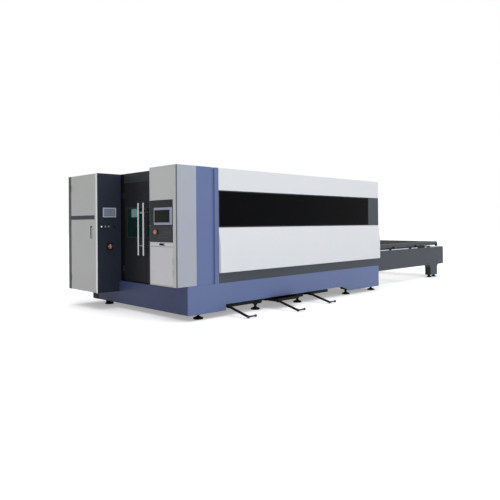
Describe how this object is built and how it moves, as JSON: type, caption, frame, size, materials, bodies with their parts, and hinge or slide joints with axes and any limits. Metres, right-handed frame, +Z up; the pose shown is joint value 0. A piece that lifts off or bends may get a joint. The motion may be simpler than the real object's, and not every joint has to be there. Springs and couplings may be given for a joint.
{
  "type": "fiber laser cutting machine",
  "caption": "Enclosed fibre laser sheet cutter: cabin with window side, swing entry doors, operator console, laser source cabinet and a two-level exchange table.",
  "frame": {"origin": "centre of the whole footprint, on the floor", "axes": "+X from the operator end to the free end of the exchange table, +Y from the window side to the service side, +Z up"},
  "size_m": [9.084, 3.5136, 2.25],
  "materials": {
    "blue_powder_coat": "satin",
    "white_powder_coat": "satin",
    "dark_grey_powder_coat": "satin",
    "black_powder_coat": "satin",
    "light_grey_powder_coat": "satin",
    "grey_blue_powder_coat": "satin",
    "navy_powder_coat": "satin",
    "tinted_acrylic": "polished",
    "green_acrylic": "polished",
    "brushed_stainless": "brushed",
    "machined_steel": "ground",
    "galvanised_slat": "cut",
    "black_oxide": "matt",
    "cast_bed_paint": "matt",
    "lavender_plastic": "moulded",
    "screen_glass": "polished",
    "red_plastic": "moulded",
    "switch_plastic": "moulded",
    "cast_aluminium": "bead blasted"
  },
  "bodies": {
    "machine": {"side_skirt": "blue_powder_coat", "end_skirt": "blue_powder_coat", "rear_skirts": "blue_powder_coat", "corner_column": "blue_powder_coat", "lower_side_panel": "white_powder_coat", "upper_side_panel": "white_powder_coat", "corner_trim": "white_powder_coat", "back_panels": "white_powder_coat", "roof_panels": "white_powder_coat", "table_end_wall": "white_powder_coat", "grey_side_panels": "dark_grey_powder_coat", "table_frame": "dark_grey_powder_coat", "laser_source": "dark_grey_powder_coat", "door_frame": "black_powder_coat", "control_panel": "black_powder_coat", "console_shell": "light_grey_powder_coat", "console_fascia": "light_grey_powder_coat", "console_side_cover": "grey_blue_powder_coat", "laser_cabinet_shell": "navy_powder_coat", "side_window": "tinted_acrylic", "pallet_tracks": "machined_steel", "guide_rails": "machined_steel", "levelling_feet": "black_oxide", "door_hinges": "black_oxide", "scrap_runners": "black_oxide", "bed_frame": "cast_bed_paint", "drive_motor": "cast_bed_paint", "monitor_bezel": "lavender_plastic", "cabinet_display": "lavender_plastic", "monitor_screen": "screen_glass", "switch_collars": "switch_plastic"},
    "left_entry_door": {"left_door": "black_powder_coat", "left_door_window": "green_acrylic", "left_door_handle": "brushed_stainless"},
    "right_entry_door": {"right_door": "black_powder_coat", "right_door_window": "green_acrylic", "right_door_handle": "brushed_stainless"},
    "stop_button": {"emergency_stop": "red_plastic"},
    "keyboard_tray": {"keyboard_drawer": "light_grey_powder_coat", "keyboard": "switch_plastic"},
    "console_lower_door": {"console_door": "light_grey_powder_coat"},
    "source_door": {"laser_cabinet_door": "light_grey_powder_coat"},
    "lock_handle": {"swing_lock": "black_oxide"},
    "left_key": {"key_switch_left": "brushed_stainless"},
    "right_key": {"key_switch_right": "brushed_stainless"},
    "start_push": {"start_button": "switch_plastic"},
    "isolator_knob": {"main_isolator": "red_plastic"},
    "outer_table": {"outer_pallet": "dark_grey_powder_coat", "outer_pallet_slats": "galvanised_slat"},
    "inner_table": {"inner_pallet": "dark_grey_powder_coat"},
    "cross_shaft": {"drive_shaft": "machined_steel"},
    "bridge": {"gantry_beam": "cast_aluminium"},
    "cross_carriage": {"carriage": "cast_aluminium"},
    "cutting_axis": {"cutting_head": "cast_aluminium"},
    "first_drawer": {"first_scrap_drawer": "black_oxide"},
    "first_bar": {"first_tow_bar": "black_oxide"},
    "second_drawer": {"second_scrap_drawer": "black_oxide"},
    "second_bar": {"second_tow_bar": "black_oxide"},
    "third_drawer": {"third_scrap_drawer": "black_oxide"},
    "third_bar": {"third_tow_bar": "black_oxide"}
  },
  "joints": [
    {"name": "left_door_swing", "type": "hinge", "parent": "machine", "child": "left_entry_door", "pos_m": [-4.101, 0.61681, 1.2805], "axis": [0, 0, -1], "range_deg": [0, 88]},
    {"name": "right_door_swing", "type": "hinge", "parent": "machine", "child": "right_entry_door", "pos_m": [-4.101, -0.35719, 1.2805], "axis": [0, 0, 1], "range_deg": [0, 88]},
    {"name": "stop_press", "type": "slide", "parent": "machine", "child": "stop_button", "axis": [1, 0, 0], "range_m": [0, 0.005], "stiffness_N_per_m": 800},
    {"name": "keyboard_slide", "type": "slide", "parent": "machine", "child": "keyboard_tray", "axis": [-1, 0, 0], "range_m": [0, 0.25]},
    {"name": "console_door_swing", "type": "hinge", "parent": "machine", "child": "console_lower_door", "pos_m": [-4.345, -1.08119, 0.7945], "axis": [0, 0, 1], "range_deg": [0, 110]},
    {"name": "source_door_swing", "type": "hinge", "parent": "machine", "child": "source_door", "pos_m": [-4.533, 1.66181, 1.2665], "axis": [0, 0, -1], "range_deg": [0, 110]},
    {"name": "lock_turn", "type": "hinge", "parent": "source_door", "child": "lock_handle", "pos_m": [-4.542, 0.93481, 1.372], "axis": [-1, 0, 0], "range_deg": [0, 90]},
    {"name": "left_key_turn", "type": "hinge", "parent": "machine", "child": "left_key", "pos_m": [-4.394, 0.70481, 1.373], "axis": [0, -1, 0], "range_deg": [0, 90]},
    {"name": "right_key_turn", "type": "hinge", "parent": "machine", "child": "right_key", "pos_m": [-4.335, 0.70481, 1.373], "axis": [0, -1, 0], "range_deg": [0, 90]},
    {"name": "start_press", "type": "slide", "parent": "machine", "child": "start_push", "axis": [0, 1, 0], "range_m": [0, 0.004], "stiffness_N_per_m": 400},
    {"name": "isolator_turn", "type": "hinge", "parent": "machine", "child": "isolator_knob", "pos_m": [-4.312, 0.68281, 1.043], "axis": [0, -1, 0], "range_deg": [0, 90]},
    {"name": "outer_pallet_slide", "type": "slide", "parent": "machine", "child": "outer_table", "axis": [1, 0, 0], "range_m": [-3.675, 0]},
    {"name": "inner_pallet_slide", "type": "slide", "parent": "machine", "child": "inner_table", "axis": [1, 0, 0], "range_m": [0, 3.675]},
    {"name": "cross_shaft_turn", "type": "hinge", "parent": "machine", "child": "cross_shaft", "pos_m": [4.442, 0.23281, 0.425], "axis": [0, 1, 0], "range_deg": [-4680, 0]},
    {"name": "bridge_slide", "type": "slide", "parent": "machine", "child": "bridge", "axis": [1, 0, 0], "range_m": [-1.6, 1.6]},
    {"name": "carriage_slide", "type": "slide", "parent": "bridge", "child": "cross_carriage", "axis": [0, 1, 0], "range_m": [-0.75, 0.75]},
    {"name": "head_slide", "type": "slide", "parent": "cross_carriage", "child": "cutting_axis", "axis": [0, 0, 1], "range_m": [0, 0.12]},
    {"name": "first_drawer_slide", "type": "slide", "parent": "machine", "child": "first_drawer", "axis": [0, -1, 0], "range_m": [0, 1]},
    {"name": "first_bar_tilt", "type": "hinge", "parent": "first_drawer", "child": "first_bar", "pos_m": [-3.363, -1.18319, 0.137], "axis": [-1, 0, 0], "range_deg": [0, 75]},
    {"name": "second_drawer_slide", "type": "slide", "parent": "machine", "child": "second_drawer", "axis": [0, -1, 0], "range_m": [-0.15, 0.85]},
    {"name": "second_bar_tilt", "type": "hinge", "parent": "second_drawer", "child": "second_bar", "pos_m": [-2.413, -1.33319, 0.137], "axis": [-1, 0, 0], "range_deg": [0, 75]},
    {"name": "third_drawer_slide", "type": "slide", "parent": "machine", "child": "third_drawer", "axis": [0, -1, 0], "range_m": [0, 1]},
    {"name": "third_bar_tilt", "type": "hinge", "parent": "third_drawer", "child": "third_bar", "pos_m": [-1.398, -1.18319, 0.137], "axis": [-1, 0, 0], "range_deg": [0, 75]}
  ],
  "couplings": [
    {"joint": "inner_pallet_slide", "follows": "outer_pallet_slide", "ratio": -1},
    {"joint": "cross_shaft_turn", "follows": "outer_pallet_slide", "rad_per_m": 22.222}
  ]
}
